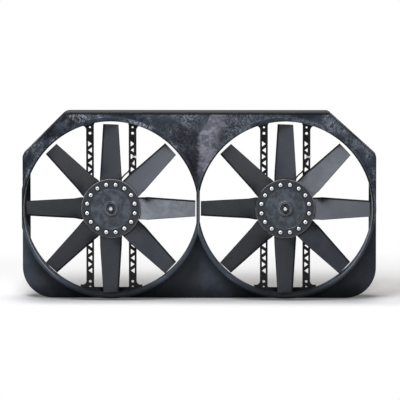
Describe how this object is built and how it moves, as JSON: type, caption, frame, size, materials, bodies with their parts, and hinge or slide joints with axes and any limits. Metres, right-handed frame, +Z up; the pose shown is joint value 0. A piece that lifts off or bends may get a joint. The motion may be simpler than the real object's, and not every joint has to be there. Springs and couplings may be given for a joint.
{
  "type": "radiator cooling fan",
  "caption": "Twin electric radiator fan: flat moulded shroud with two duct rings, riveted straight-blade rotors and motors hung on pierced straps.",
  "frame": {"origin": "centre of the bottom of the bounding box, midway through the depth", "axes": "+Z up, -Y towards the engine side with the duct rings, +Y towards the radiator, +X along the width"},
  "size_m": [0.7992, 0.11, 0.4222],
  "materials": {
    "shroud_plastic": "moulded, satin",
    "strap_paint": "black coated",
    "foam": "closed-cell foam",
    "zinc_steel": "zinc plated",
    "black_steel": "black oxide coated",
    "motor_paint": "black coated",
    "ferrite": "sintered",
    "brown_plastic": "moulded",
    "carbon": "pressed carbon",
    "spring_steel": "bright",
    "bearing_steel": "ground",
    "rubber": "moulded",
    "lead_sleeve": "smooth sleeve",
    "white_nylon": "nylon",
    "grey_plastic": "moulded",
    "blade_plastic": "moulded, satin",
    "hub_paint": "coated",
    "rivet_aluminium": "bright",
    "core_steel": "laminated",
    "copper": "copper"
  },
  "bodies": {
    "frame": {"shroud": "shroud_plastic", "rim_seal": "foam", "strap_screws": "zinc_steel", "left_outer_strap": "strap_paint", "left_inner_strap": "strap_paint", "right_inner_strap": "strap_paint", "right_outer_strap": "strap_paint", "left_motor_can": "motor_paint", "left_motor_end_bell": "zinc_steel", "left_motor_magnets": "ferrite", "left_brush_holder": "brown_plastic", "left_brushes": "carbon", "left_brush_springs": "spring_steel", "left_front_bearing": "bearing_steel", "left_rear_bearing": "bearing_steel", "left_motor_bracket": "strap_paint", "left_bracket_bolts": "zinc_steel", "left_bracket_nuts": "zinc_steel", "left_lead_grommet": "rubber", "left_motor_lead": "lead_sleeve", "left_cable_tie": "white_nylon", "left_connector": "grey_plastic", "right_motor_can": "motor_paint", "right_motor_end_bell": "zinc_steel", "right_motor_magnets": "ferrite", "right_brush_holder": "brown_plastic", "right_brushes": "carbon", "right_brush_springs": "spring_steel", "right_front_bearing": "bearing_steel", "right_rear_bearing": "bearing_steel", "right_motor_bracket": "strap_paint", "right_bracket_bolts": "zinc_steel", "right_bracket_nuts": "zinc_steel", "right_lead_grommet": "rubber", "right_motor_lead": "lead_sleeve", "right_cable_tie": "white_nylon", "right_connector": "grey_plastic"},
    "left_fan": {"left_blades": "blade_plastic", "left_hub_plate": "hub_paint", "left_back_plate": "hub_paint", "left_rivets": "rivet_aluminium", "left_shaft": "bearing_steel", "left_drive_pin": "bearing_steel", "left_lock_washer": "black_steel", "left_shaft_nut": "black_steel", "left_armature_core": "core_steel", "left_windings": "copper", "left_commutator": "copper"},
    "right_fan": {"right_blades": "blade_plastic", "right_hub_plate": "hub_paint", "right_back_plate": "hub_paint", "right_rivets": "rivet_aluminium", "right_shaft": "bearing_steel", "right_drive_pin": "bearing_steel", "right_lock_washer": "black_steel", "right_shaft_nut": "black_steel", "right_armature_core": "core_steel", "right_windings": "copper", "right_commutator": "copper"}
  },
  "joints": [
    {"name": "left_fan_spin", "type": "hinge", "parent": "frame", "child": "left_fan", "pos_m": [-0.1965, 0, 0.2074], "axis": [0, -1, 0], "continuous": true},
    {"name": "right_fan_spin", "type": "hinge", "parent": "frame", "child": "right_fan", "pos_m": [0.1965, 0, 0.2074], "axis": [0, -1, 0], "continuous": true}
  ]
}
